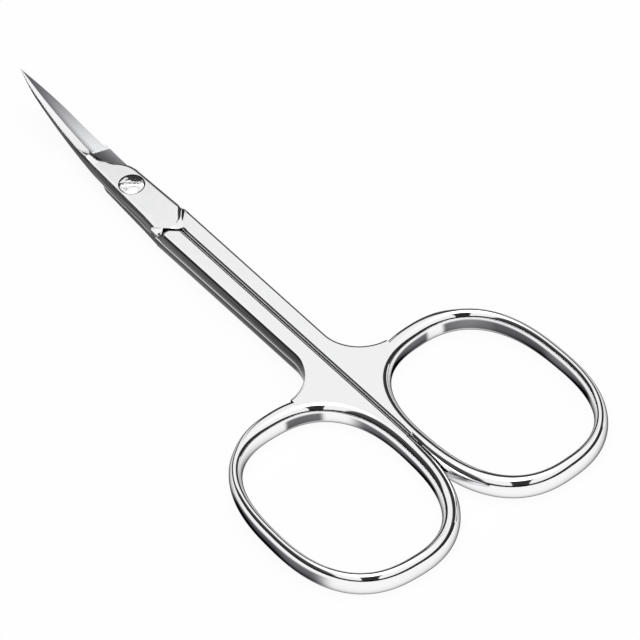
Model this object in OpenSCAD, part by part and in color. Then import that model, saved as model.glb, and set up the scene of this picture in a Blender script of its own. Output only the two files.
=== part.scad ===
// Cuticle scissors: two forged halves, crossed at a lap joint and held by one slotted screw.
// The origin is on the pivot axis at the resting plane. +X runs to the blade tips, +Y to the
// finger ring of the lower half, +Z up. Both halves are drawn about their mid-plane, where
// the lap faces meet, and are lifted to the resting plane at the end.

/* [Overall] */
// Thickness of the shanks and finger rings
thickness = 3.2; // [2.6:0.1:4]
// Pivot axis to the blade tips
tip_reach = 21.3; // [18:0.1:26]
// Gap between the two handles along the centre line, closed
handle_gap = 0.12; // [0.06:0.02:0.4]

/* [Finger rings] */
// Pivot axis to the middle of the finger holes
ring_reach = 53.7; // [48:0.1:62]
// Centre line to the middle of a finger hole
hole_offset = 11.2; // [10.6:0.1:12]
// Half the length of a finger hole
hole_half_length = 12.8; // [11.6:0.1:13.4]
// Half the width of a finger hole
hole_half_width = 9.35; // [8.6:0.05:9.6]
// Squareness of the hole's oval: 2 is an ellipse, more is squarer
hole_squareness = 2.5; // [2.2:0.05:3]
// Width of the ring on its outer side
band_side = 1.5; // [1.4:0.05:2.2]
// Width of the ring on the side along the centre line
band_inner = 2.25; // [2.1:0.05:2.6]
// Squareness of the ring in section: 2 is an ellipse, more is squarer
section_squareness = 2.6; // [2.2:0.05:3.2]
// Tilt of the rings, in degrees
ring_tilt = 1.9; // [0:0.1:3]

/* [Shanks] */
// Half width of the handles at the top and bottom faces
shank_face = 2.26; // [1.9:0.02:2.5]
// How far the parting ridge at mid-height stands out past the faces
parting_swell = 0.2; // [0.08:0.02:0.3]
// Chamfer along the inner edges
inner_chamfer = 0.34; // [0.1:0.02:0.6]
// Radius of the web between shank and ring
web_r = 5.2; // [3.5:0.1:6]
// Radius that carries the flat web out onto the ring
web_fade_r = 9; // [7:0.1:10]

/* [Lap joint] */
// Pivot axis to the point where the two shoulders meet
shoulder_reach = 9.7; // [8.6:0.1:11]
// Angle of the shoulders from the centre line
shoulder_angle = 46; // [40:1:60]
// Gap between a shoulder and the end of the other lap plate
shoulder_gap = 0.16; // [0.1:0.02:0.3]
// How far the upper lap plate lies below the shank face
plate_drop = 0.18; // [0.06:0.02:0.3]
// Length of the ramp from the shank face to the plate face
ramp_length = 0.6; // [0.3:0.05:1]
// Half width of the lap plates on their spine side, at the shoulders
spine_end_half = 2.42; // [2.3:0.02:2.46]
// Half width of the lap plates on their edge side, at the shoulders
plate_end_half = 2.3; // [2.1:0.02:2.4]
// Clearance between the two lap faces
lap_clearance = 0.04; // [0.02:0.01:0.1]

/* [Blades] */
// Pivot axis to the start of the upward curve
bend_start = 2.1; // [1:0.1:4]
// Radius of the upward curve
bend_r = 44; // [38:0.5:70]
// How far the curved lap faces dip past the flat ones where they meet
bend_dip = 0.01; // [0.01:0.01:0.02]
// Pivot axis to the curve that narrows the upper plate to its cutting edge
upper_choil = 1.3; // [1:0.1:2]
// Half width of the upper plate where that curve starts
upper_edge_half = 1.96; // [1.8:0.02:2.1]
// Pivot axis to the curve that narrows the lower plate to its cutting edge
lower_choil = 2.8; // [1:0.1:3]
// Half width of the lower plate where that curve starts
lower_edge_half = 1.52; // [1.4:0.02:1.8]
// Radius of the rounded side of those curves
choil_round_r = 3.2; // [3:0.1:4]
// Radius of their hollow side
choil_hollow_r = 2; // [1.8:0.1:3]
// How far each cutting edge passes the centre line
edge_overlap = 0.1; // [0.04:0.02:0.2]
// Thickness left at the cutting edges
edge_thickness = 0.05; // [0.03:0.01:0.1]
// Slope of the outer face of the lower blade, thickness per width
lower_slope = 0.52; // [0.4:0.02:0.6]
// Slope of the outer face of the upper blade, thickness per width
upper_slope = 0.66; // [0.4:0.02:0.7]
// Radius of the run-out where each outer face leaves the plate
runout_r = 5; // [4:0.5:6]
// How much deeper that run-out cuts where it meets the face
runout_dip = 0.02; // [0.01:0.01:0.04]
// Pivot axis to the end of the upper blade's run-out
upper_runout = 8.6; // [7.4:0.1:9.6]
// Pivot axis to the end of the lower blade's run-out
lower_runout = 10; // [9:0.1:11]

/* [Spines] */
// Pivot axis to the heel, where the lower blade steps in from its plate
heel_reach = 8.1; // [7.4:0.1:9]
// Radius of the plate's rounded corner at the heel
heel_r = 0.5; // [0.1:0.05:0.8]
// Half width of the lower plate at the heel
heel_plate_half = 2.22; // [2.1:0.02:2.4]
// Half width of the lower blade just past the heel
heel_half = 1.95; // [1.8:0.01:2]
// Pivot axis to the point where the lower blade's spine rounds in to the tip
lower_knee = 13; // [11:0.5:15]
// Half width of the lower blade at that point
lower_knee_half = 1.62; // [1.4:0.02:1.7]
// Half width of the upper half on its spine side, at the pivot
upper_spine_half = 2.28; // [2.2:0.02:2.4]
// Pivot axis to the point where the upper blade's spine rounds in to the tip
upper_knee = 17; // [14:0.5:18]
// Half width of the upper blade at that point
upper_knee_half = 0.81; // [0.6:0.01:1]
// Half width of the upper plate's face on its spine side, at the pivot
face_half = 1.83; // [1.8:0.01:2]
// Angle by which the edge of that face runs in towards the tip
face_taper = 2.5; // [1:0.1:4]
// Angle by which the spine's wall leans out below that edge
wall_lean = 10; // [0:1:16]

/* [Pivot screw] */
// Diameter of the screw head
head_d = 3.1; // [2.8:0.05:3.4]
// Diameter of the bearing shank through the upper plate
bearing_d = 2; // [1.6:0.05:2.2]
// Diameter of the threaded end in the lower plate
thread_d = 1.8; // [1.4:0.05:1.9]
// Radial clearance of the bearing shank in the upper plate
bearing_clearance = 0.03; // [0.02:0.01:0.06]
// Radial clearance round the head
head_clearance = 0.07; // [0.04:0.01:0.12]
// Radial clearance of the thread
thread_clearance = 0.01; // [0.01:0.01:0.03]
// Height of the straight rim of the head
head_rim = 0.2; // [0.1:0.05:0.3]
// Rise of the domed top of the head
head_dome = 0.16; // [0.06:0.02:0.3]
// Width of the screwdriver slot
slot_w = 0.62; // [0.4:0.02:0.9]
// Depth of the screwdriver slot
slot_depth = 0.5; // [0.3:0.05:0.6]
// Direction of the slot from the centre line, in degrees
slot_angle = 54; // [0:1:180]

/* [Hidden] */
$fn = 96;
half_t = thickness / 2;
plate_t = half_t - plate_drop;
inner_y = handle_gap / 2;
band_mean = (band_side + band_inner) / 2;
ring_front = ring_reach - hole_half_length - band_mean;
// Facets round the ring, and round its section
ring_steps = 72;
section_steps = 16;
// The web stands this much proud of the ring's rounded crest
crest_step = 0.02;
// Cuts run past the faces by this much
over = 1;
far = 100;
arc_steps = 16;
// Reach of the blade cuts: sideways, and into the blank
blade_reach = 4;
blade_height = 8;
grind_depth = 12;
// Degrees by which those cuts sweep past the tips
sweep_over = 5;
// Top of the bearing shank, where the cone of the head begins
bearing_top = plate_t - head_rim - (head_d - bearing_d) / 2;

// Point of an oval of squareness n at angle t, and the direction square to the oval there
function power(v, p) = sign(v) * pow(abs(v), p);
function oval(a, b, n, t) = [a * power(cos(t), 2 / n), b * power(sin(t), 2 / n)];
function oval_normal(a, b, n, p) =
    let(g = [power(p[0] / a, n - 1) / a, power(p[1] / b, n - 1) / b])
    g / norm(g);

// Width of the ring's band at angle t: widest along the centre line, slimmest outside
function band(t) = band_mean - (band_inner - band_side) / 2 * sin(t);

// Point this share of the band's half width outwards from its middle, at angle t round the hole
function ring_point(t, share) =
    let(p = oval(hole_half_length, hole_half_width, hole_squareness, t))
    p + oval_normal(hole_half_length, hole_half_width, hole_squareness, p) * band(t) * (1 + share) / 2;

// Moves its children from the middle of the finger hole to the hole's place
module at_ring() {
    translate([-ring_reach, hole_offset, 0])
        rotate(-ring_tilt)
            children();
}

// Finger ring: a rounded band swept round the hole, before its inner side is cut flat
module ring() {
    points = [
        for (i = [0:ring_steps - 1], j = [0:section_steps - 1])
            let(
                t = 360 * i / ring_steps,
                edge = oval(1, half_t - crest_step, section_squareness, 360 * (j + 0.5) / section_steps),
                p = ring_point(t, edge[0])
            )
            [p[0], p[1], edge[1]]
    ];
    function at(i, j) = (i % ring_steps) * section_steps + j % section_steps;
    at_ring()
        polyhedron(points, [
            for (i = [0:ring_steps - 1], j = [0:section_steps - 1], half = [0, 1])
                half == 0
                    ? [at(i, j), at(i, j + 1), at(i + 1, j + 1)]
                    : [at(i, j), at(i + 1, j + 1), at(i + 1, j)]
        ]);
}

// Shank in section: flat faces and sides that slope out to a parting ridge at mid-height
module shank() {
    translate([-ring_front - web_r, 0, 0])
        rotate([90, 0, 90])
            linear_extrude(ring_front + web_r)
                polygon([
                    [0, -half_t],
                    [shank_face, -half_t],
                    [shank_face + parting_swell, 0],
                    [shank_face, half_t],
                    [0, half_t],
                ]);
}

// Flat web that spreads from the shank onto the ring, with a hollow corner and a front that fades out
module web() {
    front_x = -ring_front;
    corner = [front_x + web_r, shank_face + parting_swell + web_r];
    flare = parting_swell * (half_t + over) / half_t;
    fade_x = front_x - web_fade_r;
    difference() {
        union() {
            translate([0, 0, -half_t])
                linear_extrude(thickness)
                    polygon([
                        [corner[0], 0],
                        corner,
                        [fade_x, corner[1]],
                        [-ring_reach, 0],
                    ]);
            translate([fade_x, corner[1]])
                rotate_extrude(angle = 60)
                    polygon([
                        [0, -half_t],
                        [web_fade_r - parting_swell, -half_t],
                        [web_fade_r, 0],
                        [web_fade_r - parting_swell, half_t],
                        [0, half_t],
                    ]);
        }
        // Open up to the crest of the ring, which fills the rest
        at_ring()
            translate([0, 0, -half_t - over])
                linear_extrude(thickness + 2 * over)
                    polygon([
                        for (i = [0:ring_steps - 1])
                            ring_point(360 * i / ring_steps, 0)
                    ]);
        translate(corner)
            rotate_extrude()
                polygon([
                    [0, -half_t - over],
                    [web_r + flare, -half_t - over],
                    [web_r, 0],
                    [web_r + flare, half_t + over],
                    [0, half_t + over],
                ]);
    }
}

// Slanted prism along a shoulder. Its section is given as distance past the shoulder, and height.
module along_shoulder() {
    translate([-shoulder_reach, 0, 0])
        rotate(shoulder_angle)
            rotate([90, 0, 90])
                translate([0, 0, -far])
                    linear_extrude(2 * far)
                        mirror([1, 0])
                            children();
}

// Shank, web and ring of the lower half at full thickness, ending at the shoulder
module handle() {
    difference() {
        intersection() {
            union() {
                shank();
                web();
                ring();
            }
            translate([-far, inner_y, -half_t])
                cube([far, far, thickness]);
        }
        // Chamfers along the centre line
        for (face = [0, 1])
            mirror([0, 0, face])
                translate([-ring_reach - hole_half_length, 0, 0])
                    rotate([90, 0, 90])
                        linear_extrude(far)
                            polygon([
                                [inner_y - over, half_t - inner_chamfer - over],
                                [inner_y + inner_chamfer + over, half_t + over],
                                [inner_y - over, half_t + over],
                            ]);
        // Shoulder, with a chamfer at its upper edge
        along_shoulder()
            polygon([
                [-inner_chamfer - over, half_t + over],
                [0, half_t - inner_chamfer],
                [0, -half_t - over],
                [2 * shoulder_reach, -half_t - over],
                [2 * shoulder_reach, half_t + over],
            ]);
    }
}

// Space over the outer face of the upper lap plate, drawn face down, with the ramp that leads to it
module plate_face_cut() {
    intersection() {
        along_shoulder()
            polygon([
                [-far, -half_t],
                [0, -half_t],
                [ramp_length, -plate_t],
                [far, -plate_t],
                [far, -far],
                [-far, -far],
            ]);
        translate([-far, -far, -far])
            cube([far + runout_centre(1, upper_runout)[0], 2 * far, far]);
    }
}

// What a lap plate leaves free for the other half's shoulder
module end_cut() {
    mirror([0, 1, 0])
        along_shoulder()
            translate([-far + shoulder_gap, -far])
                square([far, 2 * far]);
}

// Choil: the double curve from the side of the plate in to the cutting edge, spine towards +Y
function choil_points(start, edge_half) =
    let(
        drop = edge_half - edge_overlap,
        turn = acos(1 - drop / (choil_round_r + choil_hollow_r)),
        end = start + (choil_round_r + choil_hollow_r) * sin(turn)
    )
    concat(
        [
            for (k = [0:arc_steps])
                let(t = turn * k / arc_steps)
                [start, choil_round_r - edge_half] + choil_round_r * [sin(t), -cos(t)]
        ],
        [
            for (k = [arc_steps - 1:-1:0])
                let(t = turn * k / arc_steps)
                [end, -choil_hollow_r - edge_overlap] + choil_hollow_r * [-sin(t), cos(t)]
        ]
    );

// Spine from the tip back: one arc that is tangent at the knee, then straight to the start
function spine_points(start, knee) =
    let(
        tip = [tip_reach, 0],
        u = (knee - start) / norm(knee - start),
        n = [u[1], -u[0]],
        r = (tip - knee) * (tip - knee) / (2 * (tip - knee) * n),
        turn = asin((tip - knee) * u / r)
    )
    concat(
        [
            for (i = [arc_steps:-1:0])
                let(t = turn * i / arc_steps)
                knee + r * (n + u * sin(t) - n * cos(t))
        ],
        [start]
    );

// Outline of the upper plate and blade from above, spine towards +Y
module upper_plan() {
    polygon(concat(
        [[-shoulder_reach, -plate_end_half]],
        choil_points(upper_choil, upper_edge_half),
        spine_points([0, upper_spine_half], [upper_knee, upper_knee_half]),
        [[-shoulder_reach, spine_end_half]]
    ));
}

// Outline of the lower plate and blade, also with the spine towards +Y: the plate ends at the heel
module lower_plan() {
    first_turn = asin(max(0, 1 - (heel_plate_half - heel_half) / heel_r));
    polygon(concat(
        [[-shoulder_reach, -plate_end_half]],
        choil_points(lower_choil, lower_edge_half),
        spine_points([heel_reach, heel_half], [lower_knee, lower_knee_half]),
        [
            for (k = [0:arc_steps])
                let(t = first_turn + (90 - first_turn) * k / arc_steps)
                [heel_reach - heel_r, heel_plate_half - heel_r] + heel_r * [cos(t), sin(t)]
        ],
        [[-shoulder_reach, spine_end_half]]
    ));
}

// Angle round the axis of the upward curve, from the vertical, of a point this far from the pivot
function bend_angle(reach) = asin((reach - bend_start) / bend_r);

// Place, in the XZ plane, of the wheel that runs a blade's outer face out to its plate
function runout_centre(side, runout) =
    let(turn = bend_angle(runout), r = bend_r - side * runout_r)
    [bend_start + r * sin(turn), bend_r - r * cos(turn)];

// Sweeps a section round an axis that runs along Y through a point in the XZ plane. The section's
// x is the distance from that axis and its y runs towards +Y. Angles count from straight down.
module swing(centre, from, to) {
    translate([centre[0], 0, centre[1]])
        rotate([90, 0, 0])
            rotate(from - 90)
                rotate_extrude(angle = to - from, $fn = 720)
                    mirror([0, 1])
                        children();
}

// Everything outside the slanted outer face of a blade: the face itself, which follows the upward
// curve, and the wheel-shaped run-out where it leaves the plate. side is 1 for the upper blade.
module grind(side, slope, runout) {
    turn = bend_angle(runout);
    wheel_r = runout_r + runout_dip;
    edge_y = -side * edge_overlap;
    back_y = side * blade_reach;
    back = edge_thickness + slope * (blade_reach + edge_overlap);
    swing([bend_start, bend_r], turn, bend_angle(tip_reach) + sweep_over)
        polygon([
            [bend_r - side * grind_depth, -back_y],
            [bend_r - side * edge_thickness, -back_y],
            [bend_r - side * edge_thickness, edge_y],
            [bend_r - side * back, back_y],
            [bend_r - side * grind_depth, back_y],
        ]);
    swing(runout_centre(side, runout), turn - 180, turn + 180)
        polygon([
            [0, -back_y],
            [wheel_r - edge_thickness, -back_y],
            [wheel_r - edge_thickness, edge_y],
            [wheel_r - back, back_y],
            [0, back_y],
        ]);
}

// Plate and blade of the upper half, above the lap face, which is flat and then curves upwards
module upper_blade() {
    difference() {
        translate([0, 0, lap_clearance / 2])
            linear_extrude(blade_height)
                upper_plan();
        swing([bend_start, bend_r], 0, bend_angle(tip_reach) + sweep_over)
            translate([bend_r - lap_clearance / 2 + bend_dip, -blade_reach])
                square([grind_depth, 2 * blade_reach]);
        rotate([180, 0, 0]) {
            plate_face_cut();
            end_cut();
        }
        grind(1, upper_slope, upper_runout);
        // Leaning wall of the spine
        translate([0, face_half, plate_t])
            rotate([wall_lean, 0, -face_taper])
                translate([-far, 0, -far])
                    cube([2 * far, far, 2 * far]);
    }
}

// Plate and blade of the lower half, below the lap face. The plate stays flush with the shank
// underneath, so that the tool rests flat.
module lower_blade() {
    difference() {
        translate([0, 0, -half_t])
            linear_extrude(blade_height)
                mirror([0, 1])
                    lower_plan();
        translate([-far, -far, -lap_clearance / 2])
            cube([far + bend_start, 2 * far, far]);
        translate([bend_start, 0, bend_r])
            rotate([90, 0, 0])
                cylinder(r = bend_r + lap_clearance / 2 + bend_dip, h = far, center = true, $fn = 720);
        end_cut();
        grind(-1, lower_slope, lower_runout);
    }
}

// Upper half: countersunk for the screw head, which it turns under
module upper_half() {
    bore_r = bearing_d / 2 + bearing_clearance;
    sink_r = head_d / 2 + head_clearance;
    seat_gap = (bearing_clearance + head_clearance) / 2;
    sink_z = bearing_top - seat_gap + bearing_clearance;
    color("gainsboro")
        translate([0, 0, half_t])
            difference() {
                union() {
                    upper_blade();
                    rotate([180, 0, 0])
                        handle();
                }
                rotate_extrude()
                    polygon([
                        [0, -over],
                        [bore_r, -over],
                        [bore_r, sink_z],
                        [sink_r, sink_z + sink_r - bore_r],
                        [sink_r, half_t + over],
                        [0, half_t + over],
                    ]);
            }
}

// Lower half: holds the threaded end of the screw, and lies on the table
module lower_half() {
    color("gainsboro")
        translate([0, 0, half_t])
            difference() {
                union() {
                    lower_blade();
                    handle();
                }
                translate([0, 0, -half_t - over])
                    cylinder(r = thread_d / 2 + thread_clearance, h = thickness);
            }
}

// Slotted screw: domed countersunk head, bearing shank, and a threaded end that ends flush
module pivot_screw() {
    head_r = head_d / 2;
    dome_r = (head_r * head_r + head_dome * head_dome) / (2 * head_dome);
    color("silver")
        translate([0, 0, half_t])
            difference() {
                rotate_extrude() {
                    polygon([
                        [0, -half_t],
                        [thread_d / 2, -half_t],
                        [thread_d / 2, 0],
                        [bearing_d / 2, 0],
                        [bearing_d / 2, bearing_top],
                        [head_r, plate_t - head_rim],
                        [head_r, plate_t],
                        [0, plate_t],
                    ]);
                    intersection() {
                        translate([0, plate_t + head_dome - dome_r])
                            circle(r = dome_r, $fn = 360);
                        translate([0, plate_t])
                            square([head_r, head_dome]);
                    }
                }
                rotate(slot_angle)
                    translate([-head_d, -slot_w / 2, plate_t + head_dome - slot_depth])
                        cube([2 * head_d, slot_w, slot_depth + over]);
            }
}

upper_half();
lower_half();
pivot_screw();
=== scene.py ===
"""Cuticle scissors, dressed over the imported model: two polished halves, their blades and the screw.

Sizes are the part's own, in millimetres, and become metres when a piece is finished. Each half is
drawn about its mid-plane, as it is forged, and lifted to the resting plane at the end.
"""

import logging
import math
from dataclasses import dataclass, field
from enum import Enum
from typing import Callable, Iterable

import bmesh
import bpy
from mathutils import Matrix, Vector

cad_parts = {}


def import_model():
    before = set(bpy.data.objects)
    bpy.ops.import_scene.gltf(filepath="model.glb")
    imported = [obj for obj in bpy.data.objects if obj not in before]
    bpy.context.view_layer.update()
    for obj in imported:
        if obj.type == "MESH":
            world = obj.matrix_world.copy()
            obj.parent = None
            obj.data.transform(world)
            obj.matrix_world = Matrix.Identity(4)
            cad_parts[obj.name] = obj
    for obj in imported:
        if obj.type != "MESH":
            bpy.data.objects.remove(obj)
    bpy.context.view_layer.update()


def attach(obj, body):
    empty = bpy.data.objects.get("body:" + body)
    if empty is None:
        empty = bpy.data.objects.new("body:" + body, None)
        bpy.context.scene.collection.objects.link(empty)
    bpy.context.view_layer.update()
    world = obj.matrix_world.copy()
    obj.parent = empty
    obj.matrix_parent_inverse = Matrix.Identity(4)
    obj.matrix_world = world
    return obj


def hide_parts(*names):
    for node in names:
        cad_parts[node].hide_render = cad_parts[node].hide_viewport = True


log = logging.getLogger("cuticle_scissors")

METRES = 0.001
THICKNESS = 3.2
MID_HEIGHT = THICKNESS / 2
PLATE_DROP = 0.18
CREASE = 32.0  # degrees above which an edge is shown sharp
UPRIGHT = 0.6  # a side wall's normal has a smaller z
SIDEWAYS = 0.75  # a face that looks sideways has a normal with a larger y
LEVEL = 0.7  # a level face has a normal with a larger z
SAME_POINT = 0.0001  # distance within which two points are one

Span = tuple[float, float]
Triple = tuple[float, float, float]
Colour = Triple


class Side(Enum):
    """The two halves, by where their lap plate lies at the pivot."""

    LOWER = "lower"
    UPPER = "upper"

    @property
    def sign(self) -> int:
        """1 where the outer face looks up, -1 where it looks down."""
        return 1 if self is Side.UPPER else -1

    @property
    def node(self) -> str:
        """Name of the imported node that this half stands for."""
        return f"{self.value}_half"

    @property
    def handle_turn(self) -> Matrix:
        """Turns a handle drawn for the lower half into this half's own."""
        return Matrix.Rotation(math.pi if self is Side.UPPER else 0.0, 4, "X")


class Finish(Enum):
    """Material slots of a half, in the order in which its pieces carry them."""

    POLISHED = 0
    FLANK = 1
    SATIN = 2


# Shader maths


class Signal:
    """A value in a node tree that can be used in Python expressions."""

    def __init__(self, shade: "Shading", socket: bpy.types.NodeSocket) -> None:
        """Keeps the socket and the shading it belongs to."""
        self.shade = shade
        self.socket = socket

    def _math(self, operation: str, *terms: "Signal | float") -> "Signal":
        """Adds one Math node.

        Args:
            operation: The node's operation.
            terms: Its inputs, in order.

        Returns:
            The node's result.
        """
        inputs = {f"_{number}": term for number, term in enumerate(terms)}
        made = self.shade.node("ShaderNodeMath", {"operation": operation}, **inputs)
        return self.shade.signal(made.outputs[0])

    def __add__(self, other: "Signal | float") -> "Signal":
        """Sum."""
        return self._math("ADD", self, other)

    __radd__ = __add__

    def __mul__(self, other: "Signal | float") -> "Signal":
        """Product."""
        return self._math("MULTIPLY", self, other)

    __rmul__ = __mul__

    def __sub__(self, other: "Signal | float") -> "Signal":
        """Difference."""
        return self._math("SUBTRACT", self, other)

    def __rsub__(self, other: float) -> "Signal":
        """Difference from a number."""
        return self._math("SUBTRACT", other, self)

    def __abs__(self) -> "Signal":
        """Size without its sign."""
        return self._math("ABSOLUTE", self)

    def past(self, start: float) -> "Signal":
        """How far the value is past the start, and 0 before it."""
        gone = self - start
        return (abs(gone) + gone) * 0.5

    def step(self, start: float, end: float) -> "Signal":
        """Soft step.

        Args:
            start: Value at which it is 0.
            end: Value at which it is 1, which may be the lower one.

        Returns:
            The step.
        """
        if start > end:
            return 1.0 - self.step(end, start)
        made = self.shade.node("ShaderNodeMapRange", {"interpolation_type": "SMOOTHSTEP"},
                               Value=self, From_Min=start, From_Max=end)
        return self.shade.signal(made.outputs[0])

    def band(self, low: float, high: float, edge: float) -> "Signal":
        """1 between low and high, falling to 0 within edge on either side."""
        return self.step(low - edge, low) * self.step(high + edge, high)


class Shading:
    """Node tree of one material or of the world."""

    def __init__(self, tree: bpy.types.NodeTree) -> None:
        """Empties the tree."""
        self.tree = tree
        tree.nodes.clear()

    def node(self, kind: str, settings: dict | None = None, **sockets: object) -> bpy.types.Node:
        """Adds a node.

        Args:
            kind: The node's type.
            settings: Its properties, set first.
            sockets: Values or links of its inputs, by name with underscores for spaces, or by
                number after an underscore.

        Returns:
            The node.
        """
        made = self.tree.nodes.new(kind)
        for name, value in (settings or {}).items():
            setattr(made, name, value)
        for name, value in sockets.items():
            key = int(name[1:]) if name.startswith("_") else name.replace("_", " ")
            if isinstance(value, Signal):
                value = value.socket
            if isinstance(value, bpy.types.NodeSocket):
                self.tree.links.new(value, made.inputs[key])
            else:
                made.inputs[key].default_value = value
        return made

    def signal(self, socket: bpy.types.NodeSocket) -> Signal:
        """Wraps a socket for use in expressions."""
        return Signal(self, socket)

    def place(self, kind: str = "Object") -> bpy.types.NodeSocket:
        """Texture coordinates of a kind."""
        return self.node("ShaderNodeTexCoord").outputs[kind]

    def parts(self, vector: bpy.types.NodeSocket) -> list[Signal]:
        """The x, y and z of a vector."""
        apart = self.node("ShaderNodeSeparateXYZ", Vector=vector)
        return [self.signal(socket) for socket in apart.outputs]

    def noise(self, place: bpy.types.NodeSocket, scale: float, detail: float) -> Signal:
        """Noise of the given scale over a place."""
        made = self.node("ShaderNodeTexNoise", Vector=place, Scale=scale, Detail=detail)
        return self.signal(made.outputs["Fac"])

    def streaks(self, place: bpy.types.NodeSocket, scales: Triple, detail: float) -> Signal:
        """Noise with a scale of its own along each axis."""
        return self.noise(self.stretched(place, scales), 1.0, detail)

    def stretched(self, place: bpy.types.NodeSocket, scales: Triple) -> bpy.types.NodeSocket:
        """The place with each axis scaled."""
        return self.node("ShaderNodeMapping", Vector=place, Scale=scales).outputs[0]

    def blend(self, share: Signal, low: Colour, high: Colour) -> bpy.types.NodeSocket:
        """Colour between two, by share."""
        ends = {"_6": (*low, 1.0), "_7": (*high, 1.0)}
        return self.node("ShaderNodeMix", {"data_type": "RGBA"}, _0=share, **ends).outputs[2]

    def bump(self, height: Signal, strength: float, distance: float) -> bpy.types.NodeSocket:
        """Normal bumped by a height."""
        made = self.node("ShaderNodeBump", Strength=strength, Distance=distance, Height=height)
        return made.outputs[0]


@dataclass(frozen=True)
class Metal:
    """Bare metal, whose colour, roughness and bump each finish paints in its own way."""

    name: str
    colour: Colour
    dark: Colour
    roughness: float
    roughness_spread: float
    rim: float = 1.0

    def material(self) -> bpy.types.Material:
        """Builds the material.

        Returns:
            The material, which mirrors by the share in rim where it turns out of sight.
        """
        made = bpy.data.materials.new(self.name)
        made.use_nodes = True
        shade = Shading(made.node_tree)
        painted = self.painted(shade)
        body = shade.node("ShaderNodeBsdfPrincipled", Metallic=1.0,
                          Specular_Tint=(self.rim, self.rim, self.rim, 1.0), **painted)
        shade.node("ShaderNodeOutputMaterial", Surface=body.outputs[0])
        return made

    def painted(self, shade: Shading) -> dict[str, object]:
        """Inputs of the shader that vary over the surface."""
        raise NotImplementedError


@dataclass(frozen=True)
class Plating(Metal):
    """Bright nickel plate, mirror smooth with the slight waves of hand polishing."""

    name: str = "polished_nickel_painted_shade"
    colour: Colour = (0.93, 0.932, 0.94)
    dark: Colour = (0.11, 0.11, 0.117)
    roughness: float = 0.045
    roughness_spread: float = 0.04
    rim: float = 0.08
    grain_scale: float = 900.0
    wave_scale: float = 260.0
    wave_strength: float = 0.25
    wave_height: float = 0.00001
    patch_scale: float = 160.0
    patch_level: float = 0.65
    patch_spread: float = 0.4
    upright: Span = (0.34, 0.2)
    off_end: Span = (0.55, 0.25)
    on_side: Span = (0.2, 0.5)
    web_end: Span = (-0.053, -0.046)
    unshaded_band: Span = (-0.0085, -0.0002)
    unshaded_band_edge: float = 0.001
    shade_bands: tuple[Span, ...] = ((-0.0225, -0.0145), (-0.0115, -0.001), (0.0056, 0.0089))
    shade_band_edge: float = 0.0009

    def painted(self, shade: Shading) -> dict[str, object]:
        """Paints the plate, with painted dark reflection on its side walls.

        Args:
            shade: The material's nodes.

        Returns:
            Colour, roughness and bump.
        """
        place = shade.place()
        reach, across, _ = shade.parts(place)
        lengthwise, sidewise, up = (abs(part) for part in shade.parts(shade.place("Normal")))
        # Painted dark reflection on walls that face sideways, left out in one band across the part.
        unshaded_band = across.band(*self.unshaded_band, self.unshaded_band_edge)
        side = lengthwise.step(*self.off_end) * sidewise.step(*self.on_side) * (1.0 - unshaded_band)
        # More painted dark reflection in bands across the part, ahead of the rings' middles.
        shade_bands = (across.band(*shade_band, self.shade_band_edge) for shade_band in self.shade_bands)
        banded_shade = sum(shade_bands, start=0.0) * reach.step(*self.web_end)
        # Noise breaks the painted dark reflection into patches; only upright faces take it.
        patches = shade.noise(place, self.patch_scale, 1.0) * self.patch_spread + self.patch_level
        wall = up.step(*self.upright) * ((side + banded_shade) * patches).step(0.0, 1.0)
        grain = shade.noise(place, self.grain_scale, 3.0)
        waves = shade.noise(place, self.wave_scale, 1.0)
        return {
            "Base_Color": shade.blend(wall, self.colour, self.dark),
            "Roughness": grain * self.roughness_spread + self.roughness,
            "Normal": shade.bump(waves, self.wave_strength, self.wave_height),
        }


@dataclass(frozen=True)
class Flank(Metal):
    """Side walls, ground lengthwise, painted with dark reflection and a parting-ridge highlight."""

    name: str = "ground_flank_painted_light"
    colour: Colour = (0.8, 0.805, 0.815)
    dark: Colour = (0.006, 0.006, 0.0065)
    roughness: float = 0.1
    roughness_spread: float = 0.12
    rim: float = 0.55
    bend_start: float = 2.1 * METRES
    bend_r: float = 44.0 * METRES
    taper_start: float = 6.0 * METRES
    taper: float = 21.5
    streak_scales: Triple = (60.0, 1500.0, 2600.0)
    streak_contrast: float = 3.0
    streak_dip: float = 0.65
    top_edge: Span = (0.97, 0.8)
    upper_slope: Span = (0.9, 0.5)
    upper_foot: Span = (0.45, 0.52)
    upper_levels: Span = (0.11, 0.1)
    lower_edge: Span = (0.55, 0.45)
    lower_slope: Span = (0.35, 0.0)
    lower_levels: Span = (0.085, 0.08)
    least_level: float = 0.002
    ridge: Span = (0.48, 0.52)
    ridge_edge: float = 0.014
    ridge_end: Span = (0.006, 0.0)
    ridge_level: float = 1.1

    def painted(self, shade: Shading) -> dict[str, object]:
        """Paints shade on the wall by its height, which is followed up the blade's bend.

        Args:
            shade: The material's nodes.

        Returns:
            Colour and roughness, with painted shade from dark at the top edge to grey at the ridge.
        """
        place = shade.place()
        reach, _, height = shade.parts(place)
        run = reach.past(self.bend_start)
        bent = height - run * run * (0.5 / self.bend_r)
        thinner = reach.past(self.taper_start) * self.taper
        above = bent * (1.0 / (THICKNESS * METRES)) + thinner
        # Painted dark reflection by height: near black at the top edge, dim grey lower down.
        level, gain = self.upper_levels
        upper = above.step(*self.top_edge) * (above.step(*self.upper_slope) * gain + level)
        level, gain = self.lower_levels
        lower = above.step(*self.lower_edge) * (above.step(*self.lower_slope) * gain + level)
        grey = upper * above.step(*self.upper_foot) + lower + self.least_level
        # Painted highlight: a bright line along the parting ridge.
        ridge = above.band(*self.ridge, self.ridge_edge) * reach.step(*self.ridge_end)
        # The streaks vary the painted reflection in the colour and the ground grain in the roughness.
        streaks = shade.streaks(place, self.streak_scales, 3.0)
        tone = grey * (streaks * self.streak_contrast - self.streak_dip) + ridge * self.ridge_level
        return {
            "Base_Color": shade.blend(tone, self.dark, self.colour),
            "Roughness": streaks * self.roughness_spread + self.roughness,
        }


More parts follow.
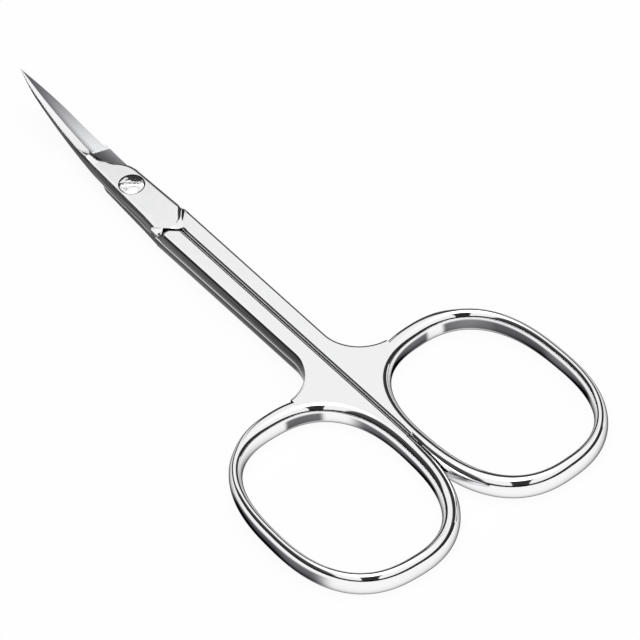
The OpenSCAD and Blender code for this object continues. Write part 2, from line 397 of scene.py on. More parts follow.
@dataclass(frozen=True)
class Satin(Metal):
    """Inner faces of the blades, ground across their width to a satin sheen."""

    name: str = "satin_blade"
    colour: Colour = (0.69, 0.695, 0.71)
    dark: Colour = (0.07, 0.07, 0.076)
    roughness: float = 0.24
    roughness_spread: float = 0.1
    heel_reach: float = 7.9 * METRES
    heel_slant: float = -0.3
    heel_edge: float = 0.1 * METRES
    heel_level: float = 0.3
    heel_width: float = 2.2 * METRES
    blade_length: float = 13.2 * METRES
    contact_shade: Span = (0.02, 0.34)
    contact_shade_level: float = 0.4
    glint_width: float = 0.12 * METRES
    glint_level: float = 0.5
    grain_scales: Triple = (9000.0, 700.0, 700.0)
    grain_strength: float = 0.05
    grain_height: float = 0.003 * METRES

    def painted(self, shade: Shading) -> dict[str, object]:
        """Paints shade on the face: on the unground part behind the heel and towards the tip.

        Args:
            shade: The material's nodes.

        Returns:
            Colour, roughness and bump.
        """
        place = shade.place()
        reach, across, _ = shade.parts(place)
        along = reach + across * self.heel_slant
        behind = along.step(self.heel_reach + self.heel_edge, self.heel_reach - self.heel_edge)
        # Painted shade, darkening the face from the heel towards the tip.
        back = (along - self.heel_reach) * (-1.0 / self.blade_length) + 1.0
        depth = abs(across) * (1.0 / self.heel_width)
        # Painted contact shade near the centre line, where the other blade lies over this one.
        contact_shade = depth.step(*self.contact_shade) * (1.0 - self.contact_shade_level) + self.contact_shade_level
        # Painted highlight: a thin bright line just past the heel.
        glint = along.band(self.heel_reach, self.heel_reach + self.glint_width, self.heel_edge)
        # Painted shade behind the heel, darkest near the centre line beside the other half.
        heel = behind * depth * depth * self.heel_level
        level = back * back * contact_shade * (1.0 - behind) + heel + glint * self.glint_level
        grain = shade.streaks(place, self.grain_scales, 2.0)
        return {
            "Base_Color": shade.blend(level, self.dark, self.colour),
            "Roughness": grain * self.roughness_spread + self.roughness,
            "Normal": shade.bump(grain, self.grain_strength, self.grain_height),
        }


@dataclass(frozen=True)
class ScrewSteel(Metal):
    """Plated screw head, slightly dented and mottled from the driver."""

    name: str = "screw_steel"
    colour: Colour = (0.9, 0.9, 0.91)
    dark: Colour = (0.3, 0.3, 0.31)
    roughness: float = 0.08
    roughness_spread: float = 0.14
    ring: Span = (1.46 * METRES, 1.5 * METRES)
    ring_level: float = 1.4
    dent_scales: Triple = (900.0, 700.0, 700.0)
    dent_height: float = 0.32 * METRES
    fleck_scale: float = 2200.0
    flecks: Span = (0.55, 0.7)
    fleck_level: float = 0.6

    def painted(self, shade: Shading) -> dict[str, object]:
        """Paints the head, with soft dents, darker flecks and a painted shade ring at its edge.

        Args:
            shade: The material's nodes.

        Returns:
            Colour, roughness and bump.
        """
        place = shade.place()
        dents = shade.streaks(place, self.dent_scales, 1.5)
        flecks = shade.noise(place, self.fleck_scale, 2.0).step(*self.flecks)
        # Painted shade on the head's rim, standing in for the shaded gap round the head.
        from_above = shade.stretched(place, (1.0, 1.0, 0.0))
        out = shade.node("ShaderNodeVectorMath", {"operation": "LENGTH"}, _0=from_above)
        ring = shade.signal(out.outputs["Value"]).step(*self.ring)
        flecks_and_rim_shade = flecks * self.fleck_level + ring * self.ring_level
        return {
            "Base_Color": shade.blend(flecks_and_rim_shade, self.colour, self.dark),
            "Roughness": flecks * self.roughness_spread + self.roughness,
            "Normal": shade.bump(dents, 1.0, self.dent_height),
        }


# Mesh work


class Workpiece:
    """A mesh while it is being shaped, in millimetres."""

    def __init__(self) -> None:
        """Starts with nothing in it."""
        self.mesh = bmesh.new()

    def skin(self, across: int, along: int, place: Callable[[float, float], Vector]) -> None:
        """Lays a grid and bends it to shape.

        Args:
            across: Number of faces in the first direction.
            along: Number of faces in the second direction.
            place: Gives the place of a point from its two shares, each from 0 to 1.
        """
        grid = bmesh.ops.create_grid(self.mesh, x_segments=across, y_segments=along, size=0.5)
        for vert in grid["verts"]:
            vert.co = place(vert.co.x + 0.5, vert.co.y + 0.5)

    def close(self, weld: float = 0.0005) -> None:
        """Merges the seams, caps the open ends and turns every face outwards.

        Args:
            weld: Distance within which points are merged.
        """
        bmesh.ops.remove_doubles(self.mesh, verts=self.mesh.verts[:], dist=weld)
        rims = [edge for edge in self.mesh.edges if edge.is_boundary]
        if rims:
            bmesh.ops.holes_fill(self.mesh, edges=rims, sides=0)
        bmesh.ops.recalc_face_normals(self.mesh, faces=self.mesh.faces[:])
        if self.mesh.calc_volume(signed=True) < 0:
            bmesh.ops.reverse_faces(self.mesh, faces=self.mesh.faces[:])

    def finish_faces(self, finish: Callable[[bmesh.types.BMFace], Finish]) -> None:
        """Gives every face its finish.

        Args:
            finish: Names the finish of a face.
        """
        self.mesh.normal_update()
        for face in self.mesh.faces:
            face.material_index = finish(face).value

    def piece(self, name: str, materials: Iterable[bpy.types.Material],
              turn: Matrix | None = None) -> bpy.types.Object:
        """Turns the mesh into an object at the origin, in metres.

        Args:
            name: The object's name.
            materials: Its material slots.
            turn: Rotation about the mid-plane's origin.

        Returns:
            The object.
        """
        lift = Matrix.Translation((0, 0, MID_HEIGHT)) @ (turn or Matrix.Identity(4))
        whole = Matrix.Scale(METRES, 4) @ lift
        bmesh.ops.transform(self.mesh, matrix=whole, verts=self.mesh.verts[:])
        data = bpy.data.meshes.new(name)
        self.mesh.to_mesh(data)
        self.mesh.free()
        data.polygons.foreach_set("use_smooth", [True] * len(data.polygons))
        data.set_sharp_from_angle(angle=math.radians(CREASE))
        for material in materials:
            data.materials.append(material)
        made = bpy.data.objects.new(name, data)
        bpy.context.scene.collection.objects.link(made)
        return made


def turned(profile: list[Span], steps: int = 96) -> Workpiece:
    """Spins a half section round the pivot axis.

    Args:
        profile: Its points, as radius and height, from the axis back to the axis.
        steps: Number of facets round the axis.

    Returns:
        The turned piece.
    """
    work = Workpiece()
    verts = [work.mesh.verts.new((x, 0.0, z)) for x, z in profile]
    edges = [work.mesh.edges.new(pair) for pair in zip(verts, verts[1:])]
    bmesh.ops.spin(work.mesh, geom=verts + edges, cent=(0, 0, 0), axis=(0, 0, 1),
                   angle=2 * math.pi, steps=steps, use_merge=True)
    bmesh.ops.remove_doubles(work.mesh, verts=work.mesh.verts[:], dist=SAME_POINT)
    return work


def bore(piece: bpy.types.Object, profile: list[Span]) -> None:
    """Cuts a turned pocket round the pivot axis into a finished piece.

    Args:
        piece: The piece, whose mesh is replaced.
        profile: Half section of the pocket, as radius and height.
    """
    work = turned(profile)
    work.close()
    work.finish_faces(lambda face: Finish.FLANK)
    cutter = work.piece("pocket", piece.data.materials[:])
    cut = piece.modifiers.new("pocket", "BOOLEAN")
    cut.operation, cut.solver, cut.object = "DIFFERENCE", "EXACT", cutter
    shown = piece.evaluated_get(bpy.context.evaluated_depsgraph_get())
    data = bpy.data.meshes.new_from_object(shown)
    data.set_sharp_from_angle(angle=math.radians(CREASE))
    piece.modifiers.clear()
    piece.data = data
    bpy.data.objects.remove(cutter)


def limited(number: float) -> float:
    """The number, held between 0 and 1."""
    return min(max(number, 0.0), 1.0)


def soft_min(first: float, second: float, blend: float) -> float:
    """The smaller of two numbers, rounded off over a distance of blend."""
    return (first + second - math.hypot(first - second, blend)) / 2


def soft_max(first: float, second: float, blend: float) -> float:
    """The larger of two numbers, rounded off over a distance of blend."""
    return -soft_min(-first, -second, blend)


def ray(angle: float) -> Vector:
    """Unit vector at an angle in the plan."""
    return Vector((math.cos(angle), math.sin(angle)))


def spread(marks: list[tuple[float, int]]) -> list[float]:
    """Numbers from mark to mark.

    Args:
        marks: Each mark, with the number of steps that lead on from it.

    Returns:
        All the numbers, the last mark included.
    """
    numbers = []
    for (start, steps), (end, _) in zip(marks, marks[1:]):
        numbers += [start + (end - start) * k / steps for k in range(steps)]
    return numbers + [marks[-1][0]]


@dataclass
class FingerRing:
    """Finger ring: a rounded band swept round a squarish oval hole."""

    reach: float = 53.7
    offset: float = 11.2
    half_length: float = 12.8
    half_width: float = 9.35
    squareness: float = 2.5
    band_side: float = 1.5
    band_inner: float = 2.25
    section_squareness: float = 2.05
    web_squareness: float = 11.0
    web_start: float = -95.0
    web_start_fade: float = 35.0
    web_end: float = 34.0
    web_end_fade: float = 50.0
    tilt: float = 1.9
    inner_y: float = 0.06
    inner_blend: float = 0.06
    inner_limit: float = 3.0
    chamfer: float = 0.34
    chamfer_blend: float = 0.02
    crest_step: float = 0.006
    around: int = 288
    section: int = 56

    @property
    def band(self) -> float:
        """Mean width of the band."""
        return (self.band_side + self.band_inner) / 2

    def at_place(self, x: float, y: float) -> Span:
        """A point of the ring's own plane, moved to the ring's place."""
        spot = Matrix.Rotation(math.radians(-self.tilt), 2) @ Vector((x, y))
        return spot.x - self.reach, spot.y + self.offset

    def across(self, turn: float, share: float) -> Span:
        """A point of the band seen from above.

        Args:
            turn: Angle round the hole, in radians.
            share: 0 at the middle of the band, -1 at the hole and 1 at its outer edge.

        Returns:
            Its x and y.
        """
        c, s, n = math.cos(turn), math.sin(turn), self.squareness
        size = (abs(c) ** n + abs(s) ** n) ** (-1 / n)
        u, v = c * size, s * size
        normal = Vector((
            math.copysign(abs(u) ** (n - 1), u) / self.half_length,
            math.copysign(abs(v) ** (n - 1), v) / self.half_width,
        )).normalized()
        wider = (self.band_inner - self.band_side) / 2
        out = (self.band - wider * math.copysign(abs(v) ** (n / 2), v)) * (1 + share) / 2
        return self.at_place(self.half_length * u + normal.x * out,
                             self.half_width * v + normal.y * out)

    def flatness(self, turn: float) -> float:
        """How far the outer half of the band is squared up to meet the web.

        Args:
            turn: Angle round the hole, in radians.

        Returns:
            1 at the web, 0 away from it.
        """
        degrees = math.degrees(math.atan2(math.sin(turn), math.cos(turn)))
        share = min(limited((degrees - self.web_start) / self.web_start_fade),
                    limited((self.web_end - degrees) / self.web_end_fade))
        return share * share * (3 - 2 * share)

    def place(self, u: float, v: float) -> Vector:
        """Place of a point of the band's skin.

        Args:
            u: Its share of the way round the ring.
            v: Its share of the way round the section.

        Returns:
            The place, cut off with a chamfer along the centre line.
        """
        turn, angle = 2 * math.pi * u, 2 * math.pi * v
        c, s, n = math.cos(angle), math.sin(angle), self.section_squareness
        if c > 0:
            n += (self.web_squareness - n) * self.flatness(turn)
        size = (abs(c) ** n + abs(s) ** n) ** (-1 / n)
        x, y = self.across(turn, c * size)
        height = (MID_HEIGHT - self.crest_step) * s * size
        clear, low = y - self.inner_y, MID_HEIGHT - self.chamfer
        if clear < self.inner_limit:
            y = self.inner_y + soft_max(clear, 0.0, self.inner_blend)
            chamfered = soft_min(abs(height), max(low + clear, low), self.chamfer_blend)
            height = math.copysign(chamfered, height)
        return Vector((x, y, height))

    def build(self) -> Workpiece:
        """Sweeps the band.

        Returns:
            The ring, drawn for the lower half.
        """
        work = Workpiece()
        work.skin(self.around, self.section, self.place)
        work.close()
        work.finish_faces(lambda face: Finish.POLISHED)
        return work


@dataclass(frozen=True)
class Wall:
    """Profile of a side of the handle: distance outwards from its face line, and height."""

    points: tuple[Span, ...]

    def towards(self, other: "Wall", share: float) -> "Wall":
        """A wall between this one and another, by share."""
        pairs = zip(self.points, other.points)
        return Wall(tuple((x + (u - x) * share, z + (v - z) * share) for (x, z), (u, v) in pairs))


@dataclass
class OutlinePoint:
    """Point of the handle's outline, on one side of it or where two sides meet."""

    x: float
    y: float
    sides: list[tuple[Vector, Wall]]
    foot: "OutlinePoint | None" = None
    foot_height: float = -0.15
    foot_blend: float = 0.9

    def at(self, level: int) -> Vector:
        """Place of this point on its walls.

        Args:
            level: Number of the walls' point.

        Returns:
            The place, drawn to its foot at the lower levels where it has one.
        """
        spot = self._own(level)
        if self.foot is None:
            return spot
        share = limited((spot.z - self.foot_height) / self.foot_blend)
        return self.foot.at(level).lerp(spot, share)

    def _own(self, level: int) -> Vector:
        """Place without a foot.

        Args:
            level: Number of the walls' point.

        Returns:
            The place, at the corner of the two sides where there are two.
        """
        offsets = [wall.points[level][0] for _, wall in self.sides]
        height = self.sides[0][1].points[level][1]
        if len(self.sides) == 1:
            moved = self.sides[0][0] * offsets[0]
        else:
            first, second = self.sides[0][0], self.sides[1][0]
            spin = first.x * second.y - first.y * second.x
            moved = Vector((
                (offsets[0] * second.y - offsets[1] * first.y) / spin,
                (offsets[1] * first.x - offsets[0] * second.x) / spin,
            ))
        return Vector((self.x + moved.x, self.y + moved.y, height))


@dataclass
class Handle:
    """Shank and web: flat faces, walls that slope out to a ridge, and a chamfered inner side."""

    ring: FingerRing
    face: float = 2.26
    swell: float = 0.2
    chamfer: float = 0.34
    inner_y: float = 0.06
    web_r: float = 5.2
    shoulder_reach: float = 9.7
    shoulder_angle: float = 46.0
    edge_width: float = 0.26
    edge_drop: float = 0.13
    edge_lead: float = 0.04
    waist: Span = (0.55, 0.45)
    ridge_half: float = 0.05
    ridge_round: float = 0.005
    inner_r: float = 0.06
    inner_bow: float = 0.09
    inner_bow_shares: Span = (0.7, 0.3)
    inner_power: float = 1.25
    corner_r: float = 0.6
    lip_width: float = 0.16
    lip_drop: float = 0.09
    lip_power: float = 1.6
    flank_depth: float = 0.3
    levels: int = 7
    corner_steps: int = 14
    side_steps: int = 40
    arc_steps: int = 40
    arc_share: float = 0.96
    crest_steps: int = 60
    inner_steps: int = 60
    shoulder_shares: Span = (0.33, 0.67)
    front_turns: Span = (-60.0, 20.0)
    side_turns: Span = (-90.0, -30.25)

    @property
    def slant(self) -> float:
        """Angle of the shoulder, in radians."""
        return math.radians(self.shoulder_angle)

    @property
    def outer_wall(self) -> Wall:
        """Rounded top edge, then a slope out to the ridge at mid-height.

        Returns:
            The wall.
        """
        wide, drop, h = self.edge_width, self.edge_drop, MID_HEIGHT
        lean = math.atan2(self.swell, h)
        top = [(-wide - self.edge_lead, h)]
        for k in range(self.levels + 1):
            angle = (math.pi / 2 - lean) * k / self.levels
            top.append((-wide + wide * math.sin(angle), h - drop + drop * math.cos(angle)))
        shift = self.swell * (h - top[-1][1]) / h - top[-1][0]
        top = [(x + shift * k / (len(top) - 1), z) for k, (x, z) in enumerate(top)]
        top += [(self.swell * self.waist[0], h * self.waist[1])]
        top += [(self.swell - self.ridge_round - 0.001, self.ridge_half)]
        return self._mirrored(top, (self.swell + self.ridge_round - 0.001, 0.0))

    @property
    def inner_wall(self) -> Wall:
        """Bowed chamfer, then straight down along the centre line.

        Returns:
            The wall.
        """
        r, h, c = self.inner_r, MID_HEIGHT, self.chamfer
        top = [(-r - self.edge_lead, h)]
        for k in range(self.levels + 1):
            share = k / self.levels
            bow = self.inner_bow * math.sin(math.pi * share)
            x = -r + (c + r) * share + bow * self.inner_bow_shares[0]
            rise = bow * self.inner_bow_shares[1] * share
            top.append((min(x, c), h - c * share ** self.inner_power + rise))
        top += [(c, h * self.waist[1]), (c, self.ridge_half)]
        return self._mirrored(top, (c, 0.0))

    @property
    def shoulder_wall(self) -> Wall:
        """Chamfer at the top, straight down, and a lip at the face that runs on into the plate.

        Returns:
            The wall.
        """
        upper = self.inner_wall.points
        half = len(upper) // 2 + 1
        lower = [(self.chamfer, z) for _, z in upper[half:]]
        wide, drop = self.lip_width, self.lip_drop
        for k in range(self.levels + 1):
            share = k / self.levels
            level = drop * share ** self.lip_power - MID_HEIGHT
            lower[-2 - k] = (self.chamfer - wide * (1 - share), level)
        lower[-1] = (self.chamfer - wide - self.edge_lead, -MID_HEIGHT)
        return Wall(upper[:half] + tuple(lower))

    @property
    def hidden_wall(self) -> Wall:
        """Straight down inside the ring's band."""
        return Wall(tuple((0.0, z) for _, z in self.outer_wall.points))

    @staticmethod
    def _mirrored(top: list[Span], middle: Span) -> Wall:
        """A wall whose lower half mirrors its upper half."""
        return Wall(tuple(top) + (middle,) + tuple((x, -z) for x, z in reversed(top)))

    def _on_shoulder(self, y: float) -> float:
        """Where the shoulder's face line is at this y."""
        back = self.chamfer / math.sin(self.slant)
        return -self.shoulder_reach + y / math.tan(self.slant) - back

    def _corner(self) -> list[OutlinePoint]:
        """Rounds the corner between the shoulder and the outer side, at the top face alone.

        Returns:
            Its points, whose feet stand on the sharp corner below.
        """
        shoulder = (Vector((math.sin(self.slant), -math.cos(self.slant))), self.shoulder_wall)
        outer = (Vector((0.0, 1.0)), self.outer_wall)
        corner_x, r = self._on_shoulder(self.face), self.corner_r
        half = (math.pi - self.slant) / 2
        spot = Vector((corner_x - r * math.tan(half), self.face - r))
        points = []
        for k in range(self.corner_steps + 1):
            share = k / self.corner_steps
            out = ray(self.slant - math.pi / 2 + (math.pi - self.slant) * share)
            if share < 0.5:
                below = r * (1 - math.sin(math.pi / 2 - self.slant)) * (1 - 2 * share)
                y = self.face - below
                foot = OutlinePoint(self._on_shoulder(y), y, [shoulder])
            elif share == 0.5:
                foot = OutlinePoint(corner_x, self.face, [shoulder, outer])
            else:
                x = corner_x + (spot.x - corner_x) * (2 * share - 1)
                foot = OutlinePoint(x, self.face, [outer])
            wall = shoulder[1].towards(outer[1], share)
            points.append(OutlinePoint(spot.x + out.x * r, spot.y + out.y * r,
                                       [(out, wall)], foot))
        return points

    def outline(self) -> list[OutlinePoint]:
        """Outline of the faces, with the ring side taken from the ring's own crest.

        Returns:
            Its points, in order, each with the walls that meet there.
        """
        slanted = (Vector((math.sin(self.slant), -math.cos(self.slant))), self.shoulder_wall)
        outer = (Vector((0.0, 1.0)), self.outer_wall)
        inner = (Vector((0.0, -1.0)), self.inner_wall)
        hidden = self.hidden_wall
        ahead, behind = (Vector((0.0, 1.0)), hidden), (Vector((-1.0, 0.0)), hidden)
        edge = self.inner_y + self.chamfer
        points = self._corner()
        front = -self.ring.reach + self.ring.half_length + self.ring.band
        centre = Vector((front + self.web_r, self.face + self.swell + self.web_r))
        for x in spread([(points[-1].x, self.side_steps), (centre.x, 0)])[1:-1]:
            points.append(OutlinePoint(x, self.face, [outer]))
        for k in range(self.arc_steps):
            out = ray(-math.pi / 2 * (1 + k / self.arc_steps * self.arc_share))
            spot = centre + out * (self.web_r + self.swell)
            points.append(OutlinePoint(spot.x, spot.y, [(-out, outer[1])]))
        turn = self._turn_at(points[-1].y)
        points[-1].sides.append(ahead)
        points.append(OutlinePoint(*self.ring.across(turn, 0.0), [ahead]))
        for way in spread([(turn, self.crest_steps), (self._lowest_turn(), 0)])[1:]:
            points.append(OutlinePoint(*self.ring.across(way, 0.0), [behind]))
        end = points[-1].x
        corner = self._on_shoulder(edge)
        points.append(OutlinePoint(end, edge, [behind, inner]))
        for x in spread([(end, self.inner_steps), (corner, 0)])[1:-1]:
            points.append(OutlinePoint(x, edge, [inner]))
        points.append(OutlinePoint(corner, edge, [inner, slanted]))
        for share in self.shoulder_shares:
            y = edge + (points[0].y - edge) * share
            points.append(OutlinePoint(self._on_shoulder(y), y, [slanted]))
        return points

    def _turn_at(self, y: float) -> float:
        """Angle round the ring's front at which its crest has a given y.

        Args:
            y: The distance from the centre line.

        Returns:
            The angle, in radians.
        """
        low, high = (math.radians(turn) for turn in self.front_turns)
        for _ in range(40):
            middle = (low + high) / 2
            short = self.ring.across(middle, 0.0)[1] < y
            low, high = (middle, high) if short else (low, middle)
        return low

    def _lowest_turn(self) -> float:
        """Angle round the ring at which its crest comes closest to the centre line.

        Returns:
            The angle, in radians.
        """
        start, end = (math.radians(turn) for turn in self.side_turns)
        turns = spread([(start, 239), (end, 0)])
        return min(turns, key=lambda turn: self.ring.across(turn, 0.0)[1])

    def build(self) -> Workpiece:
        """Stacks the outline over the levels of its walls.

        Returns:
            The handle, drawn for the lower half.
        """
        outline = self.outline()
        rings, levels = len(outline), len(self.outer_wall.points) - 1

        def place(u: float, v: float) -> Vector:
            """The outline's point at these shares."""
            return outline[round(u * rings) % rings].at(round(v * levels))

        def finish(face: bmesh.types.BMFace) -> Finish:
            """Ground on the outer side wall, polished elsewhere."""
            beside = face.calc_center_median().y > self.face - self.flank_depth
            return Finish.FLANK if beside and abs(face.normal.z) < UPRIGHT else Finish.POLISHED

        work = Workpiece()
        work.skin(rings, levels, place)
        work.close(weld=SAME_POINT / 2)
        work.finish_faces(finish)
        return work


@dataclass
class Blade:
    """Lap plate and blade of a half, drawn with its spine towards +Y and its outer face up."""

    side: Side
    tip_reach: float = 21.3
    shoulder_reach: float = 9.7
    shoulder_angle: float = 46.0
    shoulder_gap: float = 0.16
    shoulder_sink: float = 0.01
    ramp_length: float = 0.6
    lap_gap: float = 0.02
    bend_start: float = 2.1
    bend_r: float = 44.0
    spine_end_half: float = 2.42
    plate_end_half: float = 2.3
    plate_rise: float = 0.09
    plate_rise_start: float = 5.5
    choil_round_r: float = 3.2
    choil_hollow_r: float = 2.0
    edge_overlap: float = 0.1
    edge_thickness: float = 0.05
    face_start: float = 2.5
    face_blend: float = 0.03
    runout_r: float = 5.0
    upper_spine_half: float = 2.28
    land_start: float = 4.6
    land_end: float = 9.6
    land_fade: float = 0.8
    land_drop: float = 2.5
    land_middle: float = 5.0
    land_curve: Triple = (0.62, 0.03, 0.05)
    face_half: float = 1.83
    face_taper: float = 2.5
    wall_lean: float = 10.0
    heel_reach: float = 8.1
    heel_r: float = 0.5
    heel_plate_half: float = 2.22
    heel_half: float = 1.95
    edge_width: float = 0.2
    edge_drop: float = 0.12
    edge_share: float = 0.3
    fine_start: float = 7.0
    fine_length: float = 2.5
    fine_share: float = 0.7
    root: float = 0.7
    root_length: float = 5.0
    corner_r: float = 1.1
    least_width: float = 0.001
    least_thickness: float = 0.02
    lap_steps: int = 14
    wall_steps: int = 6
    bend_steps: int = 5
    face_steps: int = 16
    edge_steps: int = 3

    @property
    def upper(self) -> bool:
        """Whether this is the upper half's blade."""
        return self.side is Side.UPPER

    @property
    def slant(self) -> float:
        """Angle of the shoulder, in radians."""
        return math.radians(self.shoulder_angle)

    @property
    def slope(self) -> float:
        """Slope of the outer face, thickness per width."""
        return 0.66 if self.upper else 0.52

    @property
    def runout(self) -> float:
        """Pivot axis to the end of the outer face's run-out."""
        return 8.6 if self.upper else 10.0

    @property
    def choil(self) -> Span:
        """Start of the choil and half width of the plate there."""
        return (1.3, 1.96) if self.upper else (2.8, 1.52)

    @property
    def knee(self) -> Span:
        """Point where the spine rounds in to the tip."""
        return (17.0, 0.81) if self.upper else (13.0, 1.62)

    def lap_height(self, x: float) -> float:
        """Height of this half's lap face, away from the mid-plane on its own side."""
        bend = self.bend_r - math.sqrt(self.bend_r ** 2 - max(x - self.bend_start, 0.0) ** 2)
        return self.side.sign * bend + self.lap_gap

    def edge(self, x: float) -> float:
        """Half width on the side of the cutting edge.

        Args:
            x: Distance from the pivot axis.

        Returns:
            The half width, rounded and hollowed at the choil.
        """
        start, half = self.choil
        round_r, hollow_r = self.choil_round_r, self.choil_hollow_r
        turn = math.acos(1 - (half - self.edge_overlap) / (round_r + hollow_r))
        end = start + (round_r + hollow_r) * math.sin(turn)
        if x <= start:
            share = limited((x + self.shoulder_reach) / (start + self.shoulder_reach))
            return self.plate_end_half + (half - self.plate_end_half) * share
        if x <= start + round_r * math.sin(turn):
            return half - round_r + math.sqrt(round_r ** 2 - (x - start) ** 2)
        if x <= end:
            return self.edge_overlap + hollow_r - math.sqrt(hollow_r ** 2 - (end - x) ** 2)
        return self.edge_overlap * (1 - (x - end) / (self.tip_reach - end))

    def _to_tip(self, x: float, start: Span) -> float:
        """Spine from a start to the tip: straight to the knee, then one tangent arc.

        Args:
            x: Distance from the pivot axis.
            start: Where the spine starts, and its half width there.

        Returns:
            The half width.
        """
        (x0, y0), (x1, y1) = start, self.knee
        if x <= x1:
            return y0 + (y1 - y0) * (x - x0) / (x1 - x0)
        run = Vector((x1 - x0, y1 - y0)).normalized()
        normal = Vector((run.y, -run.x))
        gap = Vector((self.tip_reach - x1, -y1))
        r = gap.dot(gap) / (2 * gap.dot(normal))
        centre = Vector((x1, y1)) + normal * r
        return max(centre.y + math.sqrt(max(r ** 2 - (x - centre.x) ** 2, 0.0)), 0.0)

    def spine(self, x: float) -> float:
        """Half width on the side of the spine, from the plan.

        Args:
            x: Distance from the pivot axis.

        Returns:
            The half width, with the heel's step on the lower blade.
        """
        end, wide = -self.shoulder_reach, self.spine_end_half
        if self.upper:
            if x < 0:
                return self.upper_spine_half + (wide - self.upper_spine_half) * x / end
            return self._to_tip(x, (0.0, self.upper_spine_half))
        corner = self.heel_reach - self.heel_r
        if x <= corner:
            return wide + (self.heel_plate_half - wide) * (x - end) / (corner - end)
        if x < self.heel_reach:
            drop = self.heel_r - math.sqrt(max(self.heel_r ** 2 - (x - corner) ** 2, 0.0))
            return max(self.heel_plate_half - drop, self.heel_half)
        return self._to_tip(x, (self.heel_reach, self.heel_half))

    def face_line(self, x: float) -> float:
        """Half width of the upper half's outer face."""
        return self.face_half - x * math.tan(math.radians(self.face_taper))

    def wall(self, x: float, height: float) -> float:
        """Half width on the spine side, where the upper half's wall leans in towards the top.

        Args:
            x: Distance from the pivot axis.
            height: Height above the mid-plane.

        Returns:
            The half width.
        """
        if not self.upper:
            return self.spine(x)
        lean = (MID_HEIGHT - PLATE_DROP - height) * math.tan(math.radians(self.wall_lean))
        return min(self.spine(x), self.face_line(x) + lean)

    def plate(self, x: float, y: float) -> float:
        """Height of the plate's outer face.

        Args:
            x: Distance from the pivot axis.
            y: Distance from the centre line, towards the spine.

        Returns:
            The height, which the upper half's ramp brings down past its shoulder.
        """
        gone = (x + self.shoulder_reach) * math.sin(self.slant) + y * math.cos(self.slant)
        height = MID_HEIGHT
        if self.upper:
            fall = 1 - limited((self.ramp_length - gone) / self.ramp_length)
            height += self.plate_rise * max(x - self.plate_rise_start, 0.0) ** 2
            height -= PLATE_DROP * fall
        return height - self.shoulder_sink if gone < 0 else height

    def ground(self, x: float, y: float) -> float | None:
        """Height of the slanted face, which ends in a hollow where the wheel runs out.

        Args:
            x: Distance from the pivot axis.
            y: Distance from the centre line, towards the spine.

        Returns:
            The height, or None where the wheel doesn't reach.
        """
        sign = self.side.sign
        thick = self.edge_thickness + self.slope * (y + self.edge_overlap)
        turn = math.asin((self.runout - self.bend_start) / self.bend_r)
        wheel_reach, wheel_r = self.bend_r - sign * self.runout_r, self.runout_r - thick
        wheel_x = self.bend_start + wheel_reach * math.sin(turn)
        wheel_z = self.bend_r - wheel_reach * math.cos(turn)
        if x < self.face_start:
            return None
        if x >= wheel_x + sign * wheel_r * math.sin(turn):
            r = self.bend_r - sign * thick
            return sign * (self.bend_r - math.sqrt(r ** 2 - (x - self.bend_start) ** 2))
        if wheel_x - x >= wheel_r:
            return None
        return sign * wheel_z - math.sqrt(wheel_r ** 2 - (x - wheel_x) ** 2)

    def _with_land(self, x: float, y: float, face: float) -> float:
        """Adds the land that the upper blade's run-out leaves along its spine.

        Args:
            x: Distance from the pivot axis.
            y: Distance from the centre line, towards the spine.
            face: Height of the slanted face.

        Returns:
            The height with the land.
        """
        run = x - self.land_middle
        start, slope, curve = self.land_curve
        short = max(start + slope * run + curve * run ** 2 - y, 0.0)
        raised = self.outer(x, self.face_line(x), land=False) - self.land_drop * short
        inside = min(x - self.land_start, self.land_end - x)
        return max(face, face + (raised - face) * min(inside / self.land_fade, 1.0))

    def outer(self, x: float, y: float, land: bool = True) -> float:
        """Height of the outer face.

        Args:
            x: Distance from the pivot axis.
            y: Distance from the centre line, towards the spine.
            land: Whether the upper blade has its land.

        Returns:
            The plate's height, or the slanted face's where that is lower.
        """
        plate, face = self.plate(x, y), self.ground(x, y)
        if face is None:
            return plate
        if land and self.upper and self.land_start < x < self.land_end:
            face = self._with_land(x, y, face)
        return soft_min(plate, face, self.face_blend)

    def root_x(self, y: float) -> float:
        """Where the plate ends.

        Args:
            y: Distance from the centre line, towards the spine.

        Returns:
            Its x, short of the other half's shoulder or inside this half's own.
        """
        clear = self.shoulder_gap / math.sin(self.slant)
        buried = limited(-y / self.root)
        slanted = -self.shoulder_reach + abs(y) / math.tan(self.slant)
        return slanted + clear * (1 - buried) - self.root * buried

    def section(self, x: float) -> list[Triple]:
        """Section across the blade.

        Args:
            x: Its distance from the pivot axis.

        Returns:
            Its points as x, y and height, round from the cutting edge along the lap face.
        """
        edge, low = -self.edge(x), self.lap_height(x)
        floor, narrow = low + self.least_thickness, edge + self.least_width
        foot = max(self.wall(x, low), narrow + self.least_width)

        def height(y: float) -> float:
            """Height of the outer face, where the blade keeps its least thickness."""
            return max(self.outer(x, y), floor)

